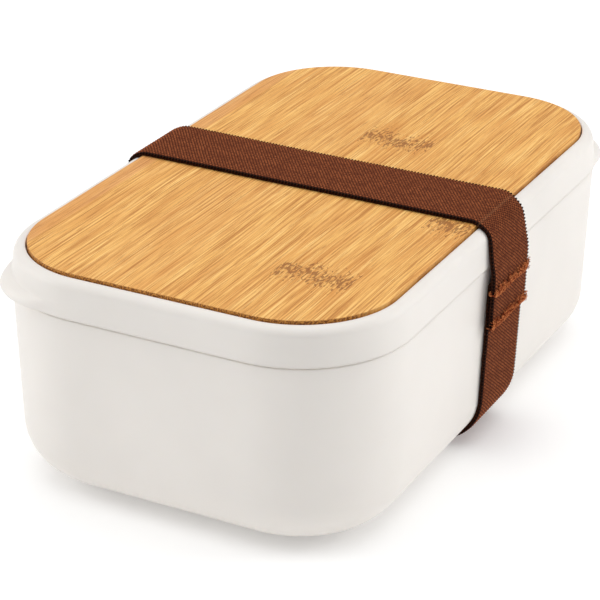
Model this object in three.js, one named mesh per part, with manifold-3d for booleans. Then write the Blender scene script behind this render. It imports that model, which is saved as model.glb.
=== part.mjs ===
// A lunch box: a moulded tub with a removable divider, a lid with a bamboo panel let into
// its top, and a woven elastic band that goes once round the box and holds the lid down.
// Millimetres, +Z up. +X runs along the box's long side. The origin is on the surface that
// the box stands on, under the middle of the tub.

import * as THREE from 'three';
import { mergeVertices } from 'three/addons/utils/BufferGeometryUtils.js';
import Module from 'manifold-3d';

const wasm = await Module();
wasm.setup();

// The outline at the seam between tub and lid
const halfLength = 93.7;
const halfWidth = 57.9;
const cornerRadius = 31.9;
const cornerSteps = 10;

// Heights
const bandThickness = 1.4;
const bandGap = 0.25;
const tubBottom = bandThickness + bandGap;
const boxHeight = 66.5;
const panelTop = tubBottom + boxHeight;
const seam = panelTop - 11.2;
const seamGap = 0.3;
const contactGap = 0.05;

// The tub
const wall = 2.2;
const tubEdge = 0.4;
const bottomFillet = 14.6;
const rimSetback = 0.5;
const sideTaper = 1.74;
const filletSteps = 7;
const lipWall = 1.4;
const lipSetback = 1.5;
const lipHeight = 4.4;
const lipDraft = 0.2;
const tubRim = seam - seamGap / 2;
const lipTop = tubRim + lipHeight;
const tubFloor = tubBottom + wall;
const innerFillet = 12;

// The lid, whose side leans in by lidDraft from its lower edge to its rim
const lidDraft = 1.4;
const lidEdge = 0.2;
const rimFillet = 3;
const panelProud = 0.9;
const panelThickness = 3.5;
const panelInset = 4.8;
const panelGap = 0.4;
const panelEdge = 0.35;
const adhesiveThickness = 0.25;
const adhesiveInset = panelInset + 6;
const plateThickness = 1.6;
const skirtWall = 1.3;
const skirtDraft = 0.3;
const plugInset = 3.4;
const plugWall = 1.5;
const plugDepth = 4.2;
const lidBottom = seam + seamGap / 2;
const rimTop = panelTop - panelProud;
const recessFloor = panelTop - panelThickness - adhesiveThickness - 2 * contactGap;
const plateUnderside = recessFloor - plateThickness;

// The two lift tabs, at opposite corners of the lid
const tabReach = 3.2;
const tabHalfAngle = THREE.MathUtils.degToRad(32);
const tabMiddle = THREE.MathUtils.degToRad(137);
const tabUnderside = lidBottom + 0.25;
const tabHeight = 3.4;
const tabFallStart = 0.2;

// The divider and the guides that hold it upright
const dividerX = 30;
const dividerThickness = 1.6;
const dividerTop = seam - 3.5;
const dividerClearance = 0.5;
const beadThickness = 3.2;
const beadHeight = 2.4;
const guideWidth = 1.5;
const guideReach = 2;
const guideGap = 0.35;
const guideBottom = tubFloor + 10;
const guideTop = dividerTop - beadHeight - 1;

// The elastic band and its sewn lap, which lies on the -Y side
const bandWidth = 23.6;
const bandX = 0.2;
const bandTurn = 6.5;
const lapTop = panelTop - 16;
const lapBottom = panelTop - 29.6;

// The two rows of sewing thread across the lap
const threadRadius = 0.25;
const threadRows = { stitch_row_upper: panelTop - 17.8, stitch_row_lower: panelTop - 27.6 };
const zigzagHeight = 2.6;
const zigzagCount = 12;
const zigzagMargin = 0.6;
const zigzagTension = 0.3;

// Points closer together than this are one point
const samePlace = 1e-4;

const cornerX = halfLength - cornerRadius;
const cornerY = halfWidth - cornerRadius;

// How far the tabs stand out from the lid's corners: a circle that crosses the corner's own
// arc at the tab's two ends and is tabReach outside it at the middle.
function tabOffset(angle) {
  const turn = Math.PI;
  const fromMiddle = ((((angle - tabMiddle) % turn) + 1.5 * turn) % turn) - turn / 2;
  const cornerHasTab = Math.sin(2 * angle) < 0;
  if (!cornerHasTab || Math.abs(fromMiddle) >= tabHalfAngle) return 0;
  const farthest = cornerRadius + tabReach;
  const centre = (farthest ** 2 - cornerRadius ** 2)
    / (2 * (farthest - cornerRadius * Math.cos(tabHalfAngle)));
  const radius = farthest - centre;
  const across = centre * Math.sin(fromMiddle);
  return centre * Math.cos(fromMiddle) + Math.sqrt(radius ** 2 - across ** 2) - cornerRadius;
}

// One ring: the seam outline moved out by outset, at height z. tab is the share of the
// tabs' reach that the ring takes in.
function ringPoints({ outset, z, tab = 0 }) {
  const points = [];
  for (let corner = 0; corner < 4; corner += 1) {
    const start = (corner * Math.PI) / 2;
    const sideX = corner === 0 || corner === 3 ? 1 : -1;
    const sideY = corner < 2 ? 1 : -1;
    for (let step = 0; step <= cornerSteps; step += 1) {
      const angle = start + (Math.PI / 2) * (step / cornerSteps);
      const radius = cornerRadius + outset + tab * tabOffset(angle);
      points.push([
        sideX * cornerX + radius * Math.cos(angle),
        sideY * cornerY + radius * Math.sin(angle),
        z,
      ]);
    }
  }
  return points;
}

// A closed skin over a list of rings. A looped skin joins its last ring to its first; any
// other is capped at both ends.
function ringSkin(sections, looped = false) {
  const rings = sections.map(ringPoints);
  const perRing = rings[0].length;
  const positions = rings.flat(2);
  const indices = [];
  const joins = looped ? rings.length : rings.length - 1;
  for (let lower = 0; lower < joins; lower += 1) {
    const upper = (lower + 1) % rings.length;
    for (let point = 0; point < perRing; point += 1) {
      const next = (point + 1) % perRing;
      const a = lower * perRing + point;
      const b = lower * perRing + next;
      const c = upper * perRing + next;
      const d = upper * perRing + point;
      indices.push(a, b, c, a, c, d);
    }
  }
  if (!looped) {
    const last = rings.length - 1;
    const firstCentre = rings.length * perRing;
    positions.push(0, 0, sections[0].z, 0, 0, sections[last].z);
    for (let point = 0; point < perRing; point += 1) {
      const next = (point + 1) % perRing;
      indices.push(firstCentre, next, point);
      indices.push(firstCentre + 1, last * perRing + point, last * perRing + next);
    }
  }
  const geometry = new THREE.BufferGeometry();
  geometry.setAttribute('position', new THREE.Float32BufferAttribute(positions, 3));
  geometry.setIndex(indices);
  return geometry;
}

// Sections along a quarter circle in the outset-height plane, both ends included
function arcSections(centreOutset, centreZ, radius, fromDegrees, toDegrees, steps) {
  const sections = [];
  for (let step = 0; step <= steps; step += 1) {
    const degrees = THREE.MathUtils.lerp(fromDegrees, toDegrees, step / steps);
    const angle = THREE.MathUtils.degToRad(degrees);
    sections.push({
      outset: centreOutset + radius * Math.cos(angle),
      z: centreZ + radius * Math.sin(angle),
    });
  }
  return sections;
}

function toManifold(geometry) {
  const bare = geometry.clone();
  bare.deleteAttribute('normal');
  bare.deleteAttribute('uv');
  const merged = mergeVertices(bare, samePlace);
  return new wasm.Manifold(new wasm.Mesh({
    numProp: 3,
    vertProperties: new Float32Array(merged.attributes.position.array),
    triVerts: new Uint32Array(merged.index.array),
  }));
}

function fromManifold(solid) {
  const mesh = solid.getMesh();
  const geometry = new THREE.BufferGeometry();
  geometry.setAttribute('position', new THREE.Float32BufferAttribute(mesh.vertProperties, 3));
  geometry.setIndex(new THREE.Uint32BufferAttribute(mesh.triVerts, 1));
  return geometry;
}

// Outset of the tub's outer wall at a height between its bottom fillet and the seam
function tubWallOutset(z) {
  const filletTop = tubBottom + bottomFillet;
  return THREE.MathUtils.mapLinear(z, filletTop, tubRim, -sideTaper, -rimSetback);
}

// Outset of the tub's inner wall, which leans outwards all the way up to the lip, so that
// the divider can be lifted out
const innerFilletTop = tubFloor + innerFillet;
function innerWallOutset(z) {
  const atLip = -(lipSetback + lipWall);
  const atFillet = -(sideTaper + wall);
  return THREE.MathUtils.mapLinear(z, innerFilletTop, tubRim, atFillet, atLip);
}

function tubGeometry() {
  const filletOutset = -sideTaper - bottomFillet;
  const innerFilletOutset = innerWallOutset(innerFilletTop) - innerFillet;
  const lipOuter = -lipSetback;
  const lipInner = lipOuter - lipWall;
  const cup = toManifold(ringSkin([
    ...arcSections(filletOutset, tubBottom + bottomFillet, bottomFillet, -90, 0, filletSteps),
    { outset: tubWallOutset(tubRim - tubEdge), z: tubRim - tubEdge },
    { outset: -rimSetback - tubEdge, z: tubRim },
    { outset: lipOuter, z: tubRim },
    { outset: lipOuter - lipDraft, z: lipTop - tubEdge },
    { outset: lipOuter - lipDraft - tubEdge, z: lipTop },
    { outset: lipInner + tubEdge, z: lipTop },
    { outset: lipInner, z: lipTop - tubEdge },
    { outset: lipInner, z: tubRim },
    ...arcSections(innerFilletOutset, innerFilletTop, innerFillet, 0, -90, filletSteps),
  ]));
  let tub = cup;
  const guideHeight = guideTop - guideBottom;
  const fromDivider = dividerThickness / 2 + guideGap + guideWidth / 2;
  const wallY = halfWidth + innerWallOutset(guideBottom);
  for (const alongX of [-1, 1]) {
    for (const side of [-1, 1]) {
      const rootDepth = 0.75 * wall;
      const rib = new THREE.BoxGeometry(guideWidth, guideReach + rootDepth, guideHeight);
      rib.translate(
        dividerX + alongX * fromDivider,
        side * (wallY + (rootDepth - guideReach) / 2),
        guideBottom + guideHeight / 2,
      );
      tub = tub.add(toManifold(rib));
    }
  }
  return fromManifold(tub);
}

// Outset of the lid's outer side at a height
function lidSideOutset(z) {
  return THREE.MathUtils.mapLinear(z, lidBottom, rimTop, 0, -lidDraft);
}

// The lid's side through the lift tabs' levels: a flat underside, a blunt edge, and a round
// shoulder that comes back to the lid's own side.
function tabSections() {
  const levels = 8;
  const undersideDraft = 0.01;
  const sections = [{ outset: lidSideOutset(tabUnderside), z: tabUnderside }];
  for (let level = 0; level <= levels; level += 1) {
    const up = THREE.MathUtils.lerp(undersideDraft, 1, level / levels);
    const z = tabUnderside + up * tabHeight;
    const fall = Math.max(0, (up - tabFallStart) / (1 - tabFallStart));
    sections.push({ outset: lidSideOutset(z), z, tab: 1 - fall ** 2 });
  }
  return sections;
}

function lidGeometry() {
  const plugOuter = -plugInset;
  const plugInner = plugOuter - plugWall;
  const plugBottom = plateUnderside - plugDepth;
  const recessWall = -(panelInset - panelGap);
  const filletZ = rimTop - rimFillet;
  return ringSkin([
    { outset: plugInner, z: plateUnderside },
    { outset: plugInner, z: plugBottom },
    { outset: plugOuter, z: plugBottom },
    { outset: plugOuter, z: plateUnderside },
    { outset: -skirtWall - skirtDraft, z: plateUnderside },
    { outset: -skirtWall, z: lidBottom },
    { outset: -lidEdge, z: lidBottom },
    { outset: 0, z: lidBottom + lidEdge },
    ...tabSections(),
    ...arcSections(lidSideOutset(filletZ) - rimFillet, filletZ, rimFillet, 0, 90, filletSteps),
    { outset: recessWall, z: rimTop },
    { outset: recessWall, z: recessFloor },
  ]);
}

// The bamboo panel: a rounded rectangle with its top edge eased
function panelGeometry() {
  return ringSkin([
    { outset: -panelInset, z: panelTop - panelThickness },
    { outset: -panelInset, z: panelTop - panelEdge },
    { outset: -panelInset - panelEdge, z: panelTop },
  ]);
}

// A sheet of double-sided tape that fills most of the recess under the panel
function adhesiveGeometry() {
  const tapeBottom = recessFloor + contactGap;
  return ringSkin([
    { outset: -adhesiveInset, z: tapeBottom },
    { outset: -adhesiveInset, z: tapeBottom + adhesiveThickness },
  ]);
}

// A silicone ring in the channel between the lid's skirt and its plug, above the tub's lip
function sealGeometry() {
  const outer = -skirtWall - skirtDraft - contactGap;
  const inner = -plugInset + contactGap;
  const bottom = lipTop + contactGap;
  const top = plateUnderside - contactGap;
  return ringSkin([
    { outset: inner, z: bottom },
    { outset: outer, z: bottom },
    { outset: outer, z: top },
    { outset: inner, z: top },
  ], true);
}

// Turns a geometry made by extruding a Y-Z outline so that its depth runs along +X
function standAlongX(geometry) {
  const across = new THREE.Vector3(0, 1, 0);
  const up = new THREE.Vector3(0, 0, 1);
  const along = new THREE.Vector3(1, 0, 0);
  return geometry.applyMatrix4(new THREE.Matrix4().makeBasis(across, up, along));
}

// The divider: a plate whose ends follow the tub's walls and bottom fillets, with a thicker
// bead along its top edge
function dividerGeometry() {
  const filletCentre = halfWidth + innerWallOutset(innerFilletTop) - innerFillet;
  const reach = innerFillet - dividerClearance;
  const topY = halfWidth + innerWallOutset(dividerTop) - dividerClearance;
  const outline = new THREE.Shape();
  outline.absarc(filletCentre, innerFilletTop, reach, -Math.PI / 2, 0);
  outline.lineTo(topY, dividerTop);
  outline.lineTo(-topY, dividerTop);
  outline.absarc(-filletCentre, innerFilletTop, reach, Math.PI, 1.5 * Math.PI);
  const plate = standAlongX(new THREE.ExtrudeGeometry(outline, {
    depth: dividerThickness, bevelEnabled: false, curveSegments: filletSteps,
  }));
  plate.translate(dividerX - dividerThickness / 2, 0, 0);
  const beadOutline = new THREE.Shape();
  const beadRadius = beadThickness / 2;
  beadOutline.absarc(0, 0, beadRadius, 0, Math.PI);
  beadOutline.lineTo(-beadRadius, beadRadius - beadHeight);
  beadOutline.lineTo(beadRadius, beadRadius - beadHeight);
  const beadLength = 2 * (topY - guideReach);
  const bead = new THREE.ExtrudeGeometry(beadOutline, {
    depth: beadLength, bevelEnabled: false, curveSegments: filletSteps,
  });
  bead.rotateX(Math.PI / 2);
  bead.translate(dividerX, beadLength / 2, dividerTop - beadRadius);
  return fromManifold(toManifold(plate).add(toManifold(bead)));
}

// The closed outline of a strip of even thickness along an open centreline
function stripShape(centreline, thickness) {
  const left = [];
  const right = [];
  centreline.forEach((point, i) => {
    const before = centreline[Math.max(i - 1, 0)];
    const after = centreline[Math.min(i + 1, centreline.length - 1)];
    const along = after.clone().sub(before).normalize();
    const sideways = new THREE.Vector2(-along.y, along.x).multiplyScalar(thickness / 2);
    left.push(point.clone().add(sideways));
    right.push(point.clone().sub(sideways));
  });
  return new THREE.Shape([...left, ...right.reverse()]);
}

// Where the middle of the band's thickness lies off the tub's wall, for its first layer
// and for the second layer over the lap
const firstLayer = bandGap + bandThickness / 2;
const secondLayer = firstLayer + bandThickness + bandGap;
const bandSideY = (z, layer) => halfWidth + tubWallOutset(z) + layer;

// The band's path, seen along +X: it starts under the lap, goes down the -Y side, under the
// tub, up the +Y side and over the lid, and ends outside its own beginning.
function bandGeometry() {
  const filletTop = tubBottom + bottomFillet;
  const filletCentreY = halfWidth - sideTaper - bottomFillet;
  const bottomTurn = bottomFillet + firstLayer;
  const turnY = halfWidth + firstLayer - bandTurn;
  const turnZ = panelTop + firstLayer - bandTurn;
  const path = new THREE.Path();
  path.moveTo(-bandSideY(lapTop, firstLayer), lapTop);
  path.lineTo(-filletCentreY - bottomTurn, filletTop);
  path.absarc(-filletCentreY, filletTop, bottomTurn, Math.PI, 1.5 * Math.PI);
  path.absarc(filletCentreY, filletTop, bottomTurn, 1.5 * Math.PI, 2 * Math.PI);
  path.lineTo(halfWidth + firstLayer, lidBottom);
  path.absarc(turnY, turnZ, bandTurn, 0, Math.PI / 2);
  path.absarc(-turnY, turnZ, bandTurn, Math.PI / 2, Math.PI);
  path.lineTo(-bandSideY(lapTop, secondLayer), lapTop);
  path.lineTo(-bandSideY(lapBottom, secondLayer), lapBottom);
  const centreline = path.getPoints(filletSteps);
  const distinct = centreline.filter((p, i) => i === 0 || p.distanceTo(centreline[i - 1]) > samePlace);
  const strip = new THREE.ExtrudeGeometry(stripShape(distinct, bandThickness), {
    depth: bandWidth, bevelEnabled: false,
  });
  return standAlongX(strip).translate(bandX - bandWidth / 2, 0, 0);
}

// One row of zigzag sewing across the lap, lying on the band's outer face
function stitchGeometry(rowZ) {
  const run = bandWidth - 2 * zigzagMargin;
  const points = [];
  for (let corner = 0; corner <= 2 * zigzagCount; corner += 1) {
    const z = rowZ + (corner % 2 ? 0.5 : -0.5) * zigzagHeight;
    const outside = bandSideY(z, secondLayer) + bandThickness / 2;
    const x = bandX - run / 2 + (run * corner) / (2 * zigzagCount);
    points.push(new THREE.Vector3(x, -(outside + threadRadius + contactGap), z));
  }
  const section = new THREE.Shape();
  section.absarc(0, 0, threadRadius, 0, 2 * Math.PI);
  return new THREE.ExtrudeGeometry(section, {
    steps: 6 * zigzagCount,
    curveSegments: 3,
    extrudePath: new THREE.CatmullRomCurve3(points, false, 'catmullrom', zigzagTension),
  });
}

const plastic = { color: 0xebe6dd, roughness: 0.5, metalness: 0 };
const bamboo = { color: 0xdca964, roughness: 0.55, metalness: 0 };
const silicone = { color: 0xd9dad6, roughness: 0.7, metalness: 0 };
const tape = { color: 0xf2efe6, roughness: 0.8, metalness: 0 };
const elastic = { color: 0x6e3a28, roughness: 0.9, metalness: 0 };
const thread = { color: 0xb4572a, roughness: 0.85, metalness: 0 };

const lunchBox = new THREE.Group();

function addPiece(name, geometry, finish) {
  const mesh = new THREE.Mesh(geometry, new THREE.MeshStandardMaterial(finish));
  mesh.name = name;
  lunchBox.add(mesh);
}

addPiece('tub', tubGeometry(), plastic);
addPiece('lid_shell', lidGeometry(), plastic);
addPiece('bamboo_panel', panelGeometry(), bamboo);
addPiece('panel_adhesive', adhesiveGeometry(), tape);
addPiece('lid_seal', sealGeometry(), silicone);
addPiece('divider', dividerGeometry(), plastic);
addPiece('elastic_band', bandGeometry(), elastic);
for (const [name, rowZ] of Object.entries(threadRows)) {
  addPiece(name, stitchGeometry(rowZ), thread);
}

export default lunchBox;
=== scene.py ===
"""The looks of a lunch box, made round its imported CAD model.

Everything is in metres in the CAD model's own frame: +X along the box, +Z up, and the surface
that the box stands on at z = 0. Small sizes are written in millimetres, times MM.
"""

import math
import random

import bpy
from mathutils import Matrix, Vector


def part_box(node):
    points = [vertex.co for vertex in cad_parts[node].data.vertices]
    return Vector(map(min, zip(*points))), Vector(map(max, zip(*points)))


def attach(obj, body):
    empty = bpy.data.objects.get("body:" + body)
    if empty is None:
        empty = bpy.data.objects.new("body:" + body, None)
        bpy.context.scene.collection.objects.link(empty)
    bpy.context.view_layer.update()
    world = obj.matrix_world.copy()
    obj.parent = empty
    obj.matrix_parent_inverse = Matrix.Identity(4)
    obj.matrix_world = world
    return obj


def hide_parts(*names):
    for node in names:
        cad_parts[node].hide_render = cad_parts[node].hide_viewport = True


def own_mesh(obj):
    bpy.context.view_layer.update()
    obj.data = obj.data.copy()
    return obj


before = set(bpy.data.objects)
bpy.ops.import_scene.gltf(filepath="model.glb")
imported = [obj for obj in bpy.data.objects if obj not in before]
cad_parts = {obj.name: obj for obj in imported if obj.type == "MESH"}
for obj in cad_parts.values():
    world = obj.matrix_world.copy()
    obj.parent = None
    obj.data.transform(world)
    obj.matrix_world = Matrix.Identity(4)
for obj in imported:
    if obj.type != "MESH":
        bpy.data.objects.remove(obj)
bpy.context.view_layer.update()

MM = 0.001

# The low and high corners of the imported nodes' boxes
tub_low, tub_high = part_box("tub")
lid_low, lid_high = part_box("lid_shell")
panel_low, panel_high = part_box("bamboo_panel")
divider_low, divider_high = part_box("divider")
seal_low, seal_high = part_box("lid_seal")

# The outline at the lid's foot, which every ring of points is measured from
HALF_LENGTH = 93.7 * MM
HALF_WIDTH = 57.9 * MM
CORNER_RADIUS = 31.9 * MM
CORNER_STEPS = 28
SUPPORT = 4 * MM  # how far past a corner or a bend a flat face gets an extra row of points

TUB_BOTTOM = tub_low.z
PANEL_TOP = panel_high.z
SEAM_GAP = 0.3 * MM
LID_BOTTOM = lid_low.z
TUB_RIM = LID_BOTTOM - SEAM_GAP
LIP_TOP = tub_high.z
RIM_TOP = lid_high.z

WALL = 2.2 * MM
BOTTOM_FILLET = 14.6 * MM
INNER_FILLET = 12 * MM
SIDE_TAPER = 1.74 * MM
RIM_SETBACK = 0.5 * MM  # how far the tub's rim stands in from the lid's foot
LIP_SETBACK = 1.5 * MM
LIP_WALL = 1.4 * MM
FLOOR = TUB_BOTTOM + WALL

LID_DRAFT = 1.4 * MM
RIM_FILLET = 3.0 * MM
PANEL_INSET = HALF_LENGTH - panel_high.x
PANEL_EASE = 0.3 * MM
PANEL_GAP = 0.4 * MM
SKIRT_WALL = 1.3 * MM
SKIRT_DRAFT = 0.3 * MM
PLUG_INSET = 3.4 * MM
PLUG_WALL = 1.5 * MM
PLUG_DEPTH = 4.2 * MM
PLATE_UNDERSIDE = seal_high.z + 0.05 * MM
RECESS_FLOOR = PLATE_UNDERSIDE + 1.6 * MM

TAB_REACH = 3.2 * MM
TAB_HALF_ANGLE = math.radians(32)
TAB_MIDDLE = math.radians(137)
TAB_FADE_ANGLE = TAB_HALF_ANGLE * 1.35
TAB_UNDERSIDE = LID_BOTTOM + 0.2 * MM
TAB_HEIGHT = 3.4 * MM
TAB_BLEND = 0.5 * MM

DIVIDER_THICKNESS = 1.6 * MM
GUIDE_WIDTH = 1.5 * MM
GUIDE_REACH = 2 * MM
GUIDE_GAP = 0.35 * MM
GUIDE_LOW = FLOOR + 10 * MM
GUIDE_HIGH = divider_high.z - 3.4 * MM
GUIDE_STEPS = 12

BAND_THICKNESS = 1.4 * MM
BAND_GAP = 0.1 * MM
SIDE_GAP = 0.25 * MM  # between the stretched band and the tub's -Y side
LAP_TOP = PANEL_TOP - 16 * MM
LAP_BOTTOM = PANEL_TOP - 29.5 * MM
LAP_BOW = 0.25 * MM  # how far the band has come in, a third of the way from the lap to the rim
RIM_BEND = 54 * MM  # about how far from the middle the band bends over the lid's rims
PICK = 1.0 * MM  # along the band, from one weft thread to the next
RELIEF = 0.2 * MM  # how deep the weave is
SIDE_RIBS = 17.5  # ribs from the band's middle to its side
UNDERSIDE_STEPS = 10
CREASE_HALF = 0.28 * MM  # half the width of the crease where the band bends over the rim
CREASE_HEIGHT = 0.07 * MM


def srgb(red, green, blue):
    """A colour given as it looks on a screen, from 0 to 255, as linear RGBA."""

    def linear(value):
        value /= 255
        return value / 12.92 if value <= 0.04045 else ((value + 0.055) / 1.055) ** 2.4

    return (linear(red), linear(green), linear(blue), 1.0)


# ---- materials ----


class Graph:
    """A new material's node tree, with one short call for each kind of node used here."""

    def __init__(self, name):
        self.material = bpy.data.materials.new(name)
        self.material.use_nodes = True
        self.tree = self.material.node_tree
        self.shader = self.tree.nodes["Principled BSDF"]

    def put(self, value, socket):
        """Links value to a socket if it is another node's output, and sets it otherwise."""
        if isinstance(value, bpy.types.NodeSocket):
            self.tree.links.new(value, socket)
        else:
            socket.default_value = value

    def shade(self, **values):
        """Sets or links the shader's sockets, named with underscores for spaces."""
        for name, value in values.items():
            self.put(value, self.shader.inputs[name.replace("_", " ")])

    def math(self, operation, first, second=0.0, third=0.0):
        """The result of a Math node."""
        node = self.tree.nodes.new("ShaderNodeMath")
        node.operation = operation
        for value, socket in zip((first, second, third), node.inputs):
            self.put(value, socket)
        return node.outputs[0]

    def steps(self, value, low, high, to_low=0.0, to_high=1.0):
        """Goes smoothly from to_low, where value is low, to to_high, where it is high."""
        node = self.tree.nodes.new("ShaderNodeMapRange")
        node.interpolation_type = "SMOOTHSTEP"
        for number, socket in zip((value, low, high, to_low, to_high), node.inputs):
            self.put(number, socket)
        return node.outputs[0]

    def split(self, vector):
        """A vector's X, Y and Z."""
        node = self.tree.nodes.new("ShaderNodeSeparateXYZ")
        self.put(vector, node.inputs[0])
        return node.outputs

    def join(self, x, y, z=0.0):
        """A vector from X, Y and Z."""
        node = self.tree.nodes.new("ShaderNodeCombineXYZ")
        for value, socket in zip((x, y, z), node.inputs):
            self.put(value, socket)
        return node.outputs[0]

    def place(self):
        """The point on the piece in millimetres, in the frame that the piece was made in."""
        node = self.tree.nodes.new("ShaderNodeTexCoord")
        scale = self.tree.nodes.new("ShaderNodeVectorMath")
        scale.operation = "SCALE"
        self.put(node.outputs["Object"], scale.inputs[0])
        scale.inputs["Scale"].default_value = 1 / MM
        return scale.outputs[0]

    def noise(self, vector, scale=1.0, detail=3.0, roughness=0.55, distortion=0.0):
        """Soft noise, mostly from 0.3 to 0.7."""
        node = self.tree.nodes.new("ShaderNodeTexNoise")
        self.put(vector, node.inputs["Vector"])
        node.inputs["Scale"].default_value = scale
        node.inputs["Detail"].default_value = detail
        node.inputs["Roughness"].default_value = roughness
        node.inputs["Distortion"].default_value = distortion
        return node.outputs["Fac"]

    def random(self, value):
        """A random number from 0 to 1 for each value."""
        node = self.tree.nodes.new("ShaderNodeTexWhiteNoise")
        node.noise_dimensions = "1D"
        self.put(value, node.inputs["W"])
        return node.outputs["Value"]

    def mix(self, share, first, second):
        """The first colour where share is 0, and the second where it is 1."""
        node = self.tree.nodes.new("ShaderNodeMix")
        node.data_type = "RGBA"
        # The node has a socket for each data type, and these are the ones for colours
        share_socket, first_socket, second_socket = (node.inputs[i] for i in (0, 6, 7))
        self.put(share, share_socket)
        self.put(first, first_socket)
        self.put(second, second_socket)
        return node.outputs[2]

    def ramp(self, value, *stops):
        """A colour ramp from (place, colour) stops."""
        node = self.tree.nodes.new("ShaderNodeValToRGB")
        self.put(value, node.inputs[0])
        elements = node.color_ramp.elements
        while len(elements) < len(stops):
            elements.new(0.5)
        for element, (place, colour) in zip(elements, stops):
            element.position = place
            element.color = colour
        return node.outputs[0]

    def bump(self, height, distance, strength):
        """Surface relief: height from 0 to 1 stands for distance in metres."""
        node = self.tree.nodes.new("ShaderNodeBump")
        node.inputs["Strength"].default_value = strength
        node.inputs["Distance"].default_value = distance
        self.put(height, node.inputs["Height"])
        return node.outputs[0]


def moulded_plastic():
    """Warm off-white moulded plastic with a fine spark-eroded grain."""
    graph = Graph("moulded_plastic")
    place = graph.place()
    cloud = graph.noise(place, scale=0.03, detail=2)
    grain = graph.noise(place, scale=5.5, detail=2)
    colour = graph.ramp(cloud, (0.3, srgb(233, 228, 222)), (0.7, srgb(238, 233, 227)))
    graph.shade(
        Base_Color=colour,
        Roughness=graph.steps(grain, 0.3, 0.7, 0.40, 0.50),
        Specular_IOR_Level=0.45,
        Subsurface_Weight=0.06,
        Subsurface_Radius=(0.004, 0.003, 0.002),
        Normal=graph.bump(grain, 0.012 * MM, 0.6),
    )
    return graph.material


# The panel's strips, in millimetres like every length inside a material
STRIP_WIDTH = 22.0
STRIP_EDGE = 3.7
# Where a cane's joint crosses a strip of the panel: its place along X and the strip's number
CANE_JOINTS = ((35.5, -1), (-60.5, -2), (-14.5, -3))


def fibre_layers(graph, along, across, strip):
    """Noises drawn out along the grain, from broad clouds to short dashes, by name."""
    sway_reach = 2.2
    strip_shift = 37.0
    slow_along = graph.math("MULTIPLY", along, 0.012)
    sway = graph.noise(graph.join(slow_along, strip), detail=1)
    grain_y = graph.math("ADD", across, graph.math("MULTIPLY", sway, sway_reach))
    shift = graph.math("MULTIPLY", strip, strip_shift)

    def fibres(stretch, fineness, detail, offset):
        x = graph.math("MULTIPLY_ADD", along, stretch, offset)
        y = graph.math("MULTIPLY", grain_y, fineness)
        return graph.noise(graph.join(x, y, shift), detail=detail)

    return {
        "broad": fibres(0.028, 0.22, 2, 0.0),
        "streaks": fibres(0.032, 1.6, 5, 40.0),
        "fine": fibres(0.05, 4.6, 3, 80.0),
        "dashes": fibres(0.10, 3.0, 3, 120.0),
        "hairlines": fibres(0.022, 3.4, 2, 160.0),
    }


def long_grain(graph, layers, strip):
    """The colour of the panel's face: honey streaks with browner clouds, lines and dashes."""
    tone = graph.random(strip)
    body = graph.ramp(
        layers["streaks"],
        (0.34, srgb(188, 124, 58)),
        (0.44, srgb(224, 164, 88)),
        (0.52, srgb(243, 187, 104)),
        (0.66, srgb(253, 207, 130)),
    )
    # Each layer's noise, where it starts to show and shows most, how much, and its colour
    layers_on_body = (
        (tone, 0.45, 0.95, 0.6, srgb(222, 157, 100)),
        (layers["broad"], 0.45, 0.66, 0.5, srgb(224, 158, 82)),
        (layers["fine"], 0.53, 0.60, 0.55, srgb(188, 122, 58)),
        (layers["hairlines"], 0.60, 0.63, 0.7, srgb(176, 110, 48)),
        (layers["dashes"], 0.60, 0.66, 0.55, srgb(168, 104, 46)),
    )
    colour = body
    for noise, start, full, most, brown in layers_on_body:
        colour = graph.mix(graph.steps(noise, start, full, 0.0, most), colour, brown)
    return colour


def cane_joint(graph, along, across, strip, joint_x, joint_strip):
    """The brown flecks of one cane joint, thinning out sideways, and the patch round them."""
    wander_reach = 9.0
    patch_core, patch_end = 4.0, 20.0
    thinning = 0.028
    on_strip = graph.math("COMPARE", strip, joint_strip, 0.5)
    wander = graph.noise(graph.join(0.0, across, 7.0), scale=0.2, detail=3)
    from_joint = graph.math("MULTIPLY_ADD", wander, wander_reach, -wander_reach / 2 - joint_x)
    away = graph.math("ABSOLUTE", graph.math("ADD", along, from_joint))
    around = graph.math("MULTIPLY", on_strip, graph.steps(away, patch_core, patch_end, 1.0, 0.0))
    squeezed = graph.join(graph.math("MULTIPLY", along, 0.32), across)
    flecks = graph.noise(squeezed, scale=1.5, detail=2.5, distortion=0.6)
    rarer = graph.math("MULTIPLY_ADD", away, -thinning, flecks)
    strokes = graph.math("MULTIPLY", on_strip, graph.steps(rarer, 0.41, 0.48))
    return strokes, around


def with_cane_joints(graph, colour, along, across, strip):
    """The colour again with each cane joint's mottled patch and flecks on it."""
    drawn_out = graph.join(graph.math("MULTIPLY", along, 0.28), across)
    for joint_x, joint_strip in CANE_JOINTS:
        strokes, around = cane_joint(graph, along, across, strip, joint_x, joint_strip)
        mottle = graph.noise(drawn_out, scale=0.8, detail=2)
        patch = graph.math("MULTIPLY", around, graph.steps(mottle, 0.35, 0.7, 0.0, 0.45))
        colour = graph.mix(patch, colour, srgb(212, 140, 64))
        colour = graph.mix(graph.math("MULTIPLY", strokes, 0.75), colour, srgb(136, 80, 34))
    return colour


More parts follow.
